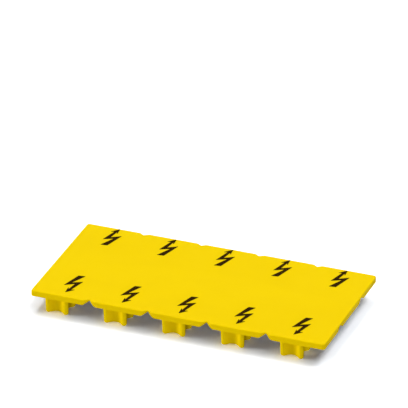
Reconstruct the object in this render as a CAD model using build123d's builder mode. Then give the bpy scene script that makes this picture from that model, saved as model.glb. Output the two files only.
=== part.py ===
from build123d import *
from math import radians, sin
import os

# Plug-in warning cover for a row of screw terminals, moulded in one piece.
#
# A thin plate lies over the heads of the terminals.  Two rows of star pegs under it push into the
# terminals' screw funnels, one row along each long edge.  V grooves in the underside let the plate
# be snapped into shorter or narrower covers, and a notch at each end of a cross groove shows where.
#
# X runs along the row of terminals, Y across it and Z up.  The origin is the middle of the
# footprint, in the plane of the peg ends that the cover stands on.  Millimetres and degrees.

# The terminals under the cover
TERMINALS = 5
TERMINAL_PITCH = 10.2
SCREW_OFFSET = -0.65  # From the middle of a terminal to its screws, along the row

# Plate
COVER_WIDTH = 25.0
PLATE_THICKNESS = 1.0
CORNER_RADIUS = 0.5
TOP_EDGE_RADIUS = 0.18

# Break grooves in the underside
GROOVE_MOUTH = 2.2
GROOVE_WEB = 0.22  # Plate left above a groove
GROOVE_LIP_RADIUS = 0.6
SIDE_STRIP_WIDTH = 7.5  # From a long edge to the middle of the groove beside it

# Notches in the long edges, one at each end of a cross groove
NOTCH_MOUTH = 1.5
NOTCH_DEPTH = 0.5
NOTCH_LIP_RADIUS = 0.3

# Star pegs: two crossed blades that taper towards their ends
PEG_LENGTH = 2.6
PEG_ROOT_CIRCLE = 5.4  # Across the tips of opposite arms, where they leave the plate
PEG_ROOT_ARM = 0.95  # Thickness of an arm, there
PEG_TIP_TAPER = 0.1  # What the taper takes off each arm's tip by the lead-in
PEG_FLANK_TAPER = 0.03  # And off each of its two flanks
PEG_LEAD_IN_HEIGHT = 0.18
PEG_LEAD_IN_SETBACK = 0.14  # At the tips
PEG_LEAD_IN_FLANK = 0.1
PEG_CORE_RADIUS = 1.2  # In the corners between the arms
PEG_SETBACK = 0.1  # From a long edge to the nearest arm

# Sizes that follow from the ones above
cover_length = TERMINALS * TERMINAL_PITCH
plate_underside = PEG_LENGTH
groove_depth = PLATE_THICKNESS - GROOVE_WEB
groove_spacing = COVER_WIDTH - 2 * SIDE_STRIP_WIDTH
peg_reach = (PEG_ROOT_CIRCLE - PEG_ROOT_ARM) / 2 * sin(radians(45)) + PEG_ROOT_ARM / 2
peg_row_spacing = COVER_WIDTH - 2 * (PEG_SETBACK + peg_reach)


def star_section(height, tip_loss, flank_loss):
    """Section of a star peg at a height, with what it has lost there at each tip and flank."""
    with BuildSketch(Plane.XY.offset(height)) as star:
        with PolarLocations(0, 2, start_angle=45, angular_range=180):
            SlotOverall(PEG_ROOT_CIRCLE - 2 * tip_loss, PEG_ROOT_ARM - 2 * flank_loss)
        fillet(star.vertices().group_by(SortBy.DISTANCE)[0], PEG_CORE_RADIUS)
    return star.sketch


def groove_section(spacing, count):
    """V grooves side by side, drawn twice as deep as they cut so that they reach out of the plate."""
    with BuildSketch() as section:
        with Locations((0, plate_underside)):
            with GridLocations(spacing, 0, count, 1):
                Polygon((-GROOVE_MOUTH, -groove_depth), (GROOVE_MOUTH, -groove_depth), (0, groove_depth),
                        align=None)
    return section.sketch


# One star peg, its end in the XY plane
with BuildPart() as star_peg:
    add(star_section(PEG_LENGTH, 0, 0))
    add(star_section(PEG_LEAD_IN_HEIGHT, PEG_TIP_TAPER, PEG_FLANK_TAPER))
    add(star_section(0, PEG_TIP_TAPER + PEG_LEAD_IN_SETBACK, PEG_FLANK_TAPER + PEG_LEAD_IN_FLANK))
    loft(ruled=True)


# The plate and its pegs
with BuildPart() as warning_cover:
    # Notched outline
    with BuildSketch(Plane.XY.offset(plate_underside)) as outline:
        Rectangle(cover_length, COVER_WIDTH)
        with GridLocations(TERMINAL_PITCH, COVER_WIDTH, TERMINALS - 1, 2):
            Polygon((-NOTCH_MOUTH / 2, 0), (0, -NOTCH_DEPTH), (NOTCH_MOUTH / 2, 0), (0, NOTCH_DEPTH),
                    mode=Mode.SUBTRACT)
        rows = outline.vertices().group_by(Axis.Y)
        fillet(rows[0].sort_by(Axis.X)[1:-1] + rows[-1].sort_by(Axis.X)[1:-1], NOTCH_LIP_RADIUS)
        columns = outline.vertices().group_by(Axis.X)
        fillet(columns[0] + columns[-1], CORNER_RADIUS)
    extrude(amount=PLATE_THICKNESS)
    fillet(warning_cover.faces().sort_by(Axis.Z)[-1].edges(), TOP_EDGE_RADIUS)

    # Break grooves, across the plate and then along it
    with BuildSketch(Plane.XZ):
        add(groove_section(TERMINAL_PITCH, TERMINALS - 1))
    extrude(amount=COVER_WIDTH, both=True, mode=Mode.SUBTRACT)
    with BuildSketch(Plane.YZ):
        add(groove_section(groove_spacing, 2))
    extrude(amount=cover_length, both=True, mode=Mode.SUBTRACT)

    # Rounded lips on the lands that the grooves leave
    land_edges = warning_cover.faces().group_by(Axis.Z)[0].edges()
    end_land = cover_length / 2 - TERMINAL_PITCH / 2
    side_land = COVER_WIDTH / 2 - SIDE_STRIP_WIDTH / 2
    cross_lips = land_edges.filter_by(Axis.Y).filter_by_position(Axis.X, -end_land, end_land)
    along_lips = land_edges.filter_by(Axis.X).filter_by_position(Axis.Y, -side_land, side_land)
    fillet(cross_lips + along_lips, GROOVE_LIP_RADIUS)

    # Two rows of pegs, one peg in each row for each terminal
    with Locations((SCREW_OFFSET, 0)):
        with GridLocations(TERMINAL_PITCH, peg_row_spacing, TERMINALS, 2):
            add(star_peg.part)

warning_cover.part.label = "warning_cover"
os.makedirs("parts", exist_ok=True)
export_step(warning_cover.part, "parts/warning_cover.step")
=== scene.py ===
"""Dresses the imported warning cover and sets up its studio: white sweep, soft lights and the camera.

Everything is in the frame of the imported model, in metres.  Sizes in the classes are in millimetres.
"""

import logging
import math
from dataclasses import dataclass, field
from enum import Enum
from typing import Dict, List, Mapping, Optional, Sequence, Tuple, Union

import bmesh
import bpy
from mathutils import Matrix, Vector


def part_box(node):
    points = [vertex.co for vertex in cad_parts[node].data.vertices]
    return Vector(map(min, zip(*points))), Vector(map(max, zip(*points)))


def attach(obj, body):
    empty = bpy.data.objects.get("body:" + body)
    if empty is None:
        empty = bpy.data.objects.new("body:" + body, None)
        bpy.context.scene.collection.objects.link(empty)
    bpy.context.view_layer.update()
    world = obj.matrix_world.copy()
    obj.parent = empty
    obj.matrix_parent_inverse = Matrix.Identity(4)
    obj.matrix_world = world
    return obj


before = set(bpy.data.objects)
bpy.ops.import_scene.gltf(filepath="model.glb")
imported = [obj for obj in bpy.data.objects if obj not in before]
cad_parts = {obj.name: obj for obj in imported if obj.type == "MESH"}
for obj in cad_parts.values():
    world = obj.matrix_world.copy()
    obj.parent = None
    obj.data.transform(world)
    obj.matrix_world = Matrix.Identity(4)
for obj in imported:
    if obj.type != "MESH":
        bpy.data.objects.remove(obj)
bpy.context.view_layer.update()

MM = 0.001
PHOTO_SIDE = 408
SENSOR_WIDTH = 36.0
NOISE_MIDDLE = 0.5
OPAQUE = (1.0,)  # What a colour's socket takes after the three values of a colour

Point = Tuple[float, float]
Colour = Tuple[float, float, float]

log = logging.getLogger("warning_cover")


# Shader maths


class Wire:
    """An output socket of a shader node that takes part in Python sums."""

    def __init__(self, bench: "ShaderBench", socket: bpy.types.NodeSocket) -> None:
        """Keeps the socket.

        Args:
            bench: The bench whose nodes the socket belongs to.
            socket: The output socket.
        """
        self.bench = bench
        self.socket = socket

    def __add__(self, other: "Term") -> "Wire":
        """Sum."""
        return self.bench.maths("ADD", self, other)

    def __radd__(self, other: "Term") -> "Wire":
        """Sum, with the number on the left."""
        return self.bench.maths("ADD", other, self)

    def __sub__(self, other: "Term") -> "Wire":
        """Difference."""
        return self.bench.maths("SUBTRACT", self, other)

    def __rsub__(self, other: "Term") -> "Wire":
        """Difference, with the number on the left."""
        return self.bench.maths("SUBTRACT", other, self)

    def __mul__(self, other: "Term") -> "Wire":
        """Product."""
        return self.bench.maths("MULTIPLY", self, other)

    def __rmul__(self, other: "Term") -> "Wire":
        """Product, with the number on the left."""
        return self.bench.maths("MULTIPLY", other, self)


Term = Union[Wire, float]
SocketKey = Union[str, int]
SocketValue = Union[Wire, float, Sequence[float]]


class ShaderBench:
    """The node tree of one material or world, and the one way to add a node to it."""

    def __init__(self, owner: Union[bpy.types.Material, bpy.types.World]) -> None:
        """Clears the owner's node tree.

        Args:
            owner: The material or world to work on.
        """
        owner.use_nodes = True
        self.tree = owner.node_tree
        self.tree.nodes.clear()

    @staticmethod
    def pick(sockets: Sequence[bpy.types.NodeSocket], key: SocketKey) -> bpy.types.NodeSocket:
        """Finds a socket of a node.

        Args:
            sockets: The node's inputs or outputs.
            key: The socket's number, name or identifier.

        Returns:
            The socket.
        """
        if isinstance(key, int):
            return sockets[key]
        return next(socket for socket in sockets if key in (socket.identifier, socket.name))

    def node(
        self, kind: str, settings: Mapping[str, object], sockets: Mapping[SocketKey, SocketValue]
    ) -> bpy.types.Node:
        """Adds a node.

        Args:
            kind: The node's type.
            settings: Its own properties, which are set before its sockets.
            sockets: What goes into its sockets, by the socket's number, name or identifier.

        Returns:
            The node.
        """
        made = self.tree.nodes.new(kind)
        for name, value in settings.items():
            setattr(made, name, value)
        for key, value in sockets.items():
            socket = self.pick(made.inputs, key)
            if isinstance(value, Wire):
                self.tree.links.new(value.socket, socket)
            else:
                socket.default_value = value
        return made

    def out(self, made: bpy.types.Node, key: SocketKey = 0) -> Wire:
        """One output of a node, by its number, name or identifier."""
        return Wire(self, self.pick(made.outputs, key))

    def maths(self, operation: str, first: Term, second: Term) -> Wire:
        """The result of a sum on two values."""
        return self.out(self.node("ShaderNodeMath", {"operation": operation}, {0: first, 1: second}))

    def blend(self, low: SocketValue, high: SocketValue, share: Term) -> Wire:
        """Mixes two colours.

        Args:
            low: The colour where the share is 0.
            high: The colour where the share is 1.
            share: How much of the second.

        Returns:
            The mixed colour.
        """
        sockets = {"Factor_Float": share, "A_Color": low, "B_Color": high}
        return self.out(self.node("ShaderNodeMix", {"data_type": "RGBA"}, sockets), "Result_Color")

    def ramp(self, value: Term, low: float, high: float) -> Wire:
        """Turns values from low to high into 0 to 1, smoothly, and holds the ends.

        Args:
            value: The value to turn.
            low: What becomes 0.
            high: What becomes 1.

        Returns:
            The share.
        """
        sockets = {"Value": value, "From Min": low, "From Max": high}
        made = self.node("ShaderNodeMapRange", {"interpolation_type": "SMOOTHSTEP"}, sockets)
        return self.out(made, "Result")

    def place(self) -> Wire:
        """Where the surface is on the object, in metres."""
        return self.out(self.node("ShaderNodeTexCoord", {}, {}), "Object")

    def drawn_out(self, place: Wire, turn: float, stretch: Sequence[float]) -> Wire:
        """Turns a place about Z and then scales it.

        Args:
            place: Where the surface is.
            turn: The turn, in degrees.
            stretch: The three scales.

        Returns:
            The new place.
        """
        sockets = {"Vector": place, "Rotation": (0.0, 0.0, math.radians(turn)), "Scale": stretch}
        return self.out(self.node("ShaderNodeMapping", {}, sockets), "Vector")

    def vector(self, operation: str, first: SocketValue, second: SocketValue, key: SocketKey = 0) -> Wire:
        """The result of a sum on two vectors."""
        made = self.node("ShaderNodeVectorMath", {"operation": operation}, {0: first, 1: second})
        return self.out(made, key)

    def relief(self, height: Wire, depth: float, below: Optional[Wire] = None) -> Wire:
        """A bump on the surface.

        Args:
            height: The height, from 0 to 1.
            depth: How deep 1 is, in millimetres.
            below: The normal of the relief under this one.

        Returns:
            The normal.
        """
        sockets: Dict[SocketKey, SocketValue] = {"Height": height, "Distance": depth * MM, "Strength": 1.0}
        if below is not None:
            sockets["Normal"] = below
        return self.out(self.node("ShaderNodeBump", {}, sockets), "Normal")

    def shown(self) -> Wire:
        """Tells what the camera, gloss and clear parts see from light that bounces.

        Returns:
            1 for what they see, and 0 for light that bounces.
        """
        path = self.node("ShaderNodeLightPath", {}, {})
        seen = self.maths("MAXIMUM", self.out(path, "Is Camera Ray"), self.out(path, "Is Glossy Ray"))
        return self.maths("MAXIMUM", seen, self.out(path, "Is Transmission Ray"))

    def paint(self, colour: Wire, roughness: Wire, normal: Wire, gloss: float, tint: Colour) -> None:
        """Closes a material with a plastic or ink surface.

        Args:
            colour: The colour.
            roughness: The roughness.
            normal: The relief's normal.
            gloss: How strong the gloss is, where 0.5 is common plastic.
            tint: The gloss's colour.
        """
        surface = self.node("ShaderNodeBsdfPrincipled", {}, {
            "Base Color": colour, "Roughness": roughness, "Normal": normal,
            "Specular IOR Level": gloss, "Specular Tint": tint + OPAQUE,
        })
        self.close(self.out(surface), "ShaderNodeOutputMaterial")

    def close(self, surface: Wire, output: str) -> None:
        """Joins the last shader to an output node of the given type."""
        self.node(output, {}, {"Surface": surface})


# Finishes


@dataclass(frozen=True)
class Mottle:
    """Cloudy noise over a surface, and the two levels between which it is cut to a share.

    The size is that of one patch, and the detail is how many finer layers lie on it.
    """

    size: float
    detail: float
    low: float = 0.3
    high: float = 0.7
    bend: float = 0.0

    def value(self, bench: ShaderBench, place: Wire) -> Wire:
        """The noise itself.

        Args:
            bench: The bench to work on.
            place: Where the surface is, in metres.

        Returns:
            A value that mostly lies between 0.3 and 0.7.
        """
        scale = 1 / (self.size * MM)
        sockets = {"Vector": place, "Scale": scale, "Detail": self.detail, "Distortion": self.bend}
        return bench.out(bench.node("ShaderNodeTexNoise", {}, sockets), "Fac")

    def share(self, bench: ShaderBench, place: Wire) -> Wire:
        """The noise cut to a share from 0 to 1."""
        return bench.ramp(self.value(bench, place), self.low, self.high)


@dataclass(frozen=True)
class Scratches:
    """Long thin scratches in one direction, and a shift that keeps them from repeating others."""

    turn: float
    shift: float
    narrowing: float = 0.045
    marks: Mottle = Mottle(0.5, 2.0, 0.70, 0.76)

    def share(self, bench: ShaderBench, place: Wire) -> Wire:
        """Draws the scratches.

        Args:
            bench: The bench to work on.
            place: Where the surface is, in metres.

        Returns:
            1 on a scratch and 0 beside it.
        """
        drawn = bench.drawn_out(place, self.turn, (self.narrowing, 1.0, 1.0))
        moved = bench.vector("ADD", drawn, (self.shift, self.shift, self.shift))
        return self.marks.share(bench, moved)


@dataclass(frozen=True)
class YellowPlastic:
    """Signal yellow moulded plastic with a fine spark-eroded skin and lightly rubbed edges."""

    colour: Colour = (0.825, 0.585, 0.0008)
    deep_colour: Colour = (0.785, 0.545, 0.0006)
    rubbed_colour: Colour = (0.86, 0.64, 0.01)
    roughness: float = 0.47
    gloss: float = 0.015
    gloss_tint: Colour = (1.0, 0.8, 0.05)

    # Faint flow clouds from the moulding, and specks
    flow_turn: float = 12.0
    flow_stretch: Tuple[float, float, float] = (0.6, 1.4, 1.0)
    flow: Mottle = Mottle(9.0, 3.0, 0.35, 0.7, 0.6)
    flow_deepening: float = 0.35
    specks: Mottle = Mottle(0.35, 2.0, 0.62, 0.75)
    specks_deepening: float = 0.10

    # Rubbed edges
    edge_width: float = 0.14
    edge_samples: int = 6
    edge_start: float = 0.01
    edge_full: float = 0.25
    rub: Mottle = Mottle(1.1, 4.0, 0.38, 0.62)
    rub_paling: float = 0.55
    rub_roughening: float = 0.09

    # Fine hairlines from handling, in two directions
    hairlines: Tuple[Scratches, Scratches] = (Scratches(24.0, 0.0), Scratches(-57.0, 3.7))
    hairline_roughening: float = 0.10
    hairline_depth: float = 0.002

    # Satin sheen that changes a little over the surface
    sheen: Mottle = Mottle(2.6, 4.0)
    sheen_change: float = 0.16

    # Long moulding ripple, and the grain of the mould
    ripple: Mottle = Mottle(5.5, 1.0)
    ripple_depth: float = 0.012
    grain: Mottle = Mottle(0.09, 2.0)
    grain_depth: float = 0.0035

    def material(self) -> bpy.types.Material:
        """Builds the material.

        Returns:
            The material.
        """
        made = bpy.data.materials.new("yellow_plastic")
        bench = ShaderBench(made)
        place = bench.place()

        # Colour
        clouds = self.flow.share(bench, bench.drawn_out(place, self.flow_turn, self.flow_stretch))
        deep = self.flow_deepening * clouds + self.specks_deepening * self.specks.share(bench, place)
        body = bench.blend(self.colour + OPAQUE, self.deep_colour + OPAQUE, deep)
        rubbed = self.edge(bench) * self.rub.share(bench, place)
        colour = bench.blend(body, self.rubbed_colour + OPAQUE, self.rub_paling * rubbed)

        # Roughness
        hair = self.hairlines[0].share(bench, place) + self.hairlines[1].share(bench, place)
        sheen = self.sheen_change * (self.sheen.value(bench, place) - NOISE_MIDDLE)
        roughness = (
            self.roughness + sheen + self.rub_roughening * rubbed + self.hairline_roughening * hair
        )

        # Skin, from the coarsest relief to the finest
        ripple = bench.relief(self.ripple.value(bench, place), self.ripple_depth)
        grain = bench.relief(self.grain.value(bench, place), self.grain_depth, ripple)
        skin = bench.relief(1.0 - hair, self.hairline_depth, grain)

        bench.paint(colour, roughness, skin, self.gloss, self.gloss_tint)
        return made

    def edge(self, bench: ShaderBench) -> Wire:
        """How near an edge the surface is.

        Args:
            bench: The bench to work on.

        Returns:
            The share, 1 on a sharp edge.
        """
        settings = {"samples": self.edge_samples}
        rounded = bench.out(bench.node("ShaderNodeBevel", settings, {"Radius": self.edge_width * MM}))
        plain = bench.out(bench.node("ShaderNodeNewGeometry", {}, {}), "Normal")
        turned = 1.0 - bench.vector("DOT_PRODUCT", rounded, plain, "Value")
        return bench.ramp(turned, self.edge_start, self.edge_full)


@dataclass(frozen=True)
class PrintInk:
    """Black printing ink, a little brown where it lies thin over the yellow."""

    colour: Colour = (0.022, 0.0095, 0.0002)
    thin_colour: Colour = (0.045, 0.023, 0.0004)
    roughness: float = 0.42
    gloss: float = 0.004
    gloss_tint: Colour = (1.0, 0.75, 0.3)

    # Thin places and pores
    thin: Mottle = Mottle(0.32, 4.0, 0.5, 0.72)
    thin_browning: float = 0.5
    pores: Mottle = Mottle(0.07, 2.0, 0.66, 0.74)
    pores_browning: float = 0.5
    pores_roughening: float = 0.15

    # The dried film
    film: Mottle = Mottle(0.6, 3.0)
    film_change: float = 0.2
    skin: Mottle = Mottle(0.12, 3.0)
    skin_depth: float = 0.003

    def material(self) -> bpy.types.Material:
        """Builds the material.

        Returns:
            The material.
        """
        made = bpy.data.materials.new("black_print")
        bench = ShaderBench(made)
        place = bench.place()
        pores = self.pores.share(bench, place)
        brown = self.thin_browning * self.thin.share(bench, place) + self.pores_browning * pores
        colour = bench.blend(self.colour + OPAQUE, self.thin_colour + OPAQUE, brown)
        film = self.film_change * (self.film.value(bench, place) - NOISE_MIDDLE)
        roughness = self.roughness + film + self.pores_roughening * pores
        skin = bench.relief(self.skin.value(bench, place), self.skin_depth)
        bench.paint(colour, roughness, skin, self.gloss, self.gloss_tint)
        return made


@dataclass(frozen=True)
class WhiteSweep:
    """Matt white paper under the cover.

    It is seen brighter and a little cooler than it lights the cover, which makes its shadow grey.
    """

    colour: Colour = (0.05, 0.05, 0.05)
    seen_colour: Colour = (1.35, 1.38, 1.41)
    cool_shade: Colour = (0.0, 0.009, 0.034)

    def material(self) -> bpy.types.Material:
        """Builds the material.

        Returns:
            The material.
        """
        made = bpy.data.materials.new("white_sweep")
        bench = ShaderBench(made)
        plain = bench.node("ShaderNodeBsdfDiffuse", {}, {"Color": self.colour + OPAQUE})
        white = bench.node("ShaderNodeBsdfDiffuse", {}, {"Color": self.seen_colour + OPAQUE})
        cool = bench.node("ShaderNodeEmission", {}, {"Color": self.cool_shade + OPAQUE})
        bright = bench.node("ShaderNodeAddShader", {}, {0: bench.out(white), 1: bench.out(cool)})
        sockets = {0: bench.shown(), 1: bench.out(plain), 2: bench.out(bright)}
        both = bench.node("ShaderNodeMixShader", {}, sockets)
        bench.close(bench.out(both), "ShaderNodeOutputMaterial")
        return made


# Shapes


class Heading(Enum):
    """Which way a printed flash strikes, as its turn in degrees."""

    TO_FRONT = 0.0
    TO_BACK = 180.0


@dataclass
class MouldedCover:
    """The moulded cover itself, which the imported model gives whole."""

    node: str = "warning_cover"
    finish: YellowPlastic = field(default_factory=YellowPlastic)

    def dress(self) -> bpy.types.Object:
        """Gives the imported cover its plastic.

        Returns:
            The cover.
        """
        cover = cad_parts[self.node]
        cover.data.materials.clear()
        cover.data.materials.append(self.finish.material())
        return cover

    def top(self) -> float:
        """Height of the flat top face, in metres."""
        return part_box(self.node)[1].z


@dataclass
class FlashRow:
    """One row of printed flashes, one over each terminal."""

    name: str
    heading: Heading
    middle: Point
    spacing: float
    count: int = 5

    # The film's height and root, how far it spreads past the outline, its soft edge and its corners
    ink_height: float = 0.02
    ink_root: float = -0.02
    spread: float = 0.04
    shoulder: float = 0.012
    corner: float = 0.03
    corner_share: float = 0.4
    corner_steps: int = 3

    # One flash, anticlockwise from its tail: down the left side, round the arrow head and up again
    outline: Tuple[Point, ...] = (
        (-0.2, 3.1), (-1.25, -0.65), (0.35, 0.35), (-0.05, -1.85), (-0.25, -1.1), (-0.15, -2.85),
        (1.0, -1.6), (0.4, -1.8), (1.25, 1.35), (-0.4, 0.5), (0.9, 3.25),
    )

    def rounded(self) -> List[Vector]:
        """Rounds the outline's corners a little.

        Returns:
            The points in millimetres, anticlockwise.
        """
        corners = [Vector(point) for point in self.outline]
        points: List[Vector] = []
        for index, corner in enumerate(corners):
            back = corners[index - 1] - corner
            ahead = corners[(index + 1) % len(corners)] - corner
            half = back.angle(ahead) / 2
            shorter = min(back.length, ahead.length)
            reach = min(self.corner / math.tan(half), self.corner_share * shorter)
            start, end = corner + back.normalized() * reach, corner + ahead.normalized() * reach
            for step in range(self.corner_steps + 1):
                share = step / self.corner_steps
                near = start.lerp(corner, share)
                points.append(near.lerp(corner.lerp(end, share), share))
        return points

    def drawn_in(self, points: Sequence[Vector], distance: float) -> List[Vector]:
        """Moves an outline inwards.

        Args:
            points: The outline, anticlockwise.
            distance: How far, in millimetres.

        Returns:
            The new outline.
        """
        moved: List[Vector] = []
        for index, point in enumerate(points):
            before = (point - points[index - 1]).normalized()
            after = (points[(index + 1) % len(points)] - point).normalized()
            inward = Vector((-before.y - after.y, before.x + after.x)).normalized()
            moved.append(point + inward * distance)
        return moved

    def film(self, shape: bmesh.types.BMesh, centre: Vector, top: float) -> None:
        """Adds one flash, a thin closed film whose edge is softened.

        Args:
            shape: The mesh to add it to.
            centre: Its place in plan, in millimetres.
            top: Height of the face that it is printed on, in metres.
        """
        outer = self.drawn_in(self.rounded(), -self.spread)
        rings = (
            (outer, self.ink_root),
            (outer, self.ink_height / 2),
            (self.drawn_in(outer, self.shoulder), self.ink_height),
        )
        turn = Matrix.Rotation(math.radians(self.heading.value), 2)
        levels: List[List[bmesh.types.BMVert]] = []
        for ring, height in rings:
            spots = [turn @ point + centre for point in ring]
            places = [(spot.x * MM, spot.y * MM, top + height * MM) for spot in spots]
            levels.append([shape.verts.new(place) for place in places])
        for lower, upper in zip(levels, levels[1:]):
            for index in range(len(lower)):
                onward = (index + 1) % len(lower)
                shape.faces.new((lower[index], lower[onward], upper[onward], upper[index]))
        shape.faces.new(levels[-1])
        shape.faces.new(list(reversed(levels[0])))

    def build(self, top: float, ink: bpy.types.Material) -> bpy.types.Object:
        """Prints the row on the cover.

        Args:
            top: Height of the face that it is printed on, in metres.
            ink: The ink's material.

        Returns:
            The row.
        """
        shape = bmesh.new()
        for number in range(self.count):
            along = (number - (self.count - 1) / 2) * self.spacing
            self.film(shape, Vector((self.middle[0] + along, self.middle[1])), top)
        shape.normal_update()
        wide = [face for face in shape.faces if len(face.verts) > 4]
        bmesh.ops.triangulate(shape, faces=wide, ngon_method="EAR_CLIP")
        row = bpy.data.objects.new(self.name, bpy.data.meshes.new(self.name))
        shape.to_mesh(row.data)
        shape.free()
        bpy.context.scene.collection.objects.link(row)
        row.data.materials.append(ink)
        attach(row, "root")
        return row


# Studio


@dataclass(frozen=True)
class SoftLight:
    """A far soft light.

    Its direction is where it shines from, clockwise from the back as seen from above.
    """

    name: str
    energy: float
    direction: float
    height: float
    width: float

    def build(self) -> bpy.types.Object:
        """Hangs the light.

        Returns:
            The light.
        """
        lamp = bpy.data.lights.new(self.name, "SUN")
        lamp.energy = self.energy
        lamp.angle = math.radians(self.width)
        turn, rise = math.radians(self.direction), math.radians(self.height)
        towards = Vector((math.sin(turn) * math.cos(rise), math.cos(turn) * math.cos(rise), math.sin(rise)))
        made = bpy.data.objects.new(self.name, lamp)
        made.rotation_mode = "QUATERNION"
        made.rotation_quaternion = towards.to_track_quat("Z", "Y")
        bpy.context.scene.collection.objects.link(made)
        return made


@dataclass
class Studio:
    """White sweep in a white room, with soft lights high above and low at the sides."""

    floor_side: float = 3000.0
    lights: Tuple[SoftLight, ...] = (
        SoftLight("high_back_left", 1.0, 310.0, 62.0, 25.0),
        SoftLight("high_back", 0.52, 340.0, 48.0, 20.0),
        SoftLight("high_back_right", 1.47, 30.0, 52.5, 30.0),
        SoftLight("high_right", 0.64, 100.0, 65.0, 35.0),
        SoftLight("low_front", 2.25, 165.0, 4.0, 25.0),
        SoftLight("low_left", 3.4, 250.0, 4.0, 25.0),
        SoftLight("low_right", 1.05, 100.0, 4.0, 25.0),
    )

    def floor(self) -> bpy.types.Object:
        """Lays the sweep under the cover's feet.

        Returns:
            The sweep.
        """
        half = self.floor_side * MM / 2
        corners = [(-half, -half, 0), (half, -half, 0), (half, half, 0), (-half, half, 0)]
        data = bpy.data.meshes.new("floor")
        data.from_pydata(corners, [], [(0, 1, 2, 3)])
        made = bpy.data.objects.new("floor", data)
        made.data.materials.append(WhiteSweep().material())
        bpy.context.scene.collection.objects.link(made)
        return made

    def room(self) -> bpy.types.World:
        """Shows the room white to the camera and in gloss, and keeps its plain light off the cover.

        Returns:
            The world.
        """
        world = bpy.data.worlds.new("room")
        bpy.context.scene.world = world
        bench = ShaderBench(world)
        sockets = {"Color": (1.0, 1.0, 1.0, 1.0), "Strength": bench.shown()}
        back = bench.node("ShaderNodeBackground", {}, sockets)
        bench.close(bench.out(back), "ShaderNodeOutputWorld")
        return world

    def build(self) -> None:
        """Sets up the floor, the lights and the room."""
        log.info("laid %s", self.floor().name)
        for light in self.lights:
            log.info("hung %s", light.build().name)
        log.info("painted %s", self.room().name)
        bpy.context.scene.view_settings.view_transform = "Standard"


@dataclass
class Viewpoint:
    """The long lens of the photograph, level, looking down on the cover from its front right."""

    azimuth: float = 21.06
    elevation: float = 27.8
    distance: float = 1020.2
    focal_pixels: float = 6250.0
    above: float = 12.87
    nearest: float = 50.0
    farthest: float = 20000.0

    def build(self, target_height: float) -> bpy.types.Object:
        """Sets up the camera.

        Args:
            target_height: Height of the cover's top face, in metres.

        Returns:
            The camera.
        """
        turn, rise = math.radians(self.azimuth), math.radians(self.elevation)
        back = Vector((math.sin(turn) * math.cos(rise), -math.cos(turn) * math.cos(rise), math.sin(rise)))
        right = Vector((math.cos(turn), math.sin(turn), 0))
        up = back.cross(right)
        lens = bpy.data.cameras.new("camera")
        lens.sensor_width = SENSOR_WIDTH
        lens.lens = self.focal_pixels / PHOTO_SIDE * SENSOR_WIDTH
        lens.clip_start, lens.clip_end = self.nearest * MM, self.farthest * MM
        made = bpy.data.objects.new("camera", lens)
        made.rotation_mode = "QUATERNION"
        made.rotation_quaternion = back.to_track_quat("Z", "Y")
        stand = (back * self.distance + up * self.above) * MM
        made.location = stand + Vector((0, 0, target_height))
        bpy.context.scene.collection.objects.link(made)
        bpy.context.scene.camera = made
        return made


def main() -> None:
    """Builds the scene in order."""
    logging.basicConfig(level=logging.INFO, format="%(message)s")
    cover = MouldedCover()
    log.info("dressed %s", cover.dress().name)
    ink = PrintInk().material()
    rows = (
        FlashRow("flashes_front", Heading.TO_FRONT, (0.02, -8.2), 9.91),
        FlashRow("flashes_back", Heading.TO_BACK, (0.27, 9.48), 10.03),
    )
    for row in rows:
        log.info("printed %s", row.build(cover.top(), ink).name)
    Studio().build()
    log.info("set up %s", Viewpoint().build(cover.top()).name)


if __name__ == "__main__":
    main()
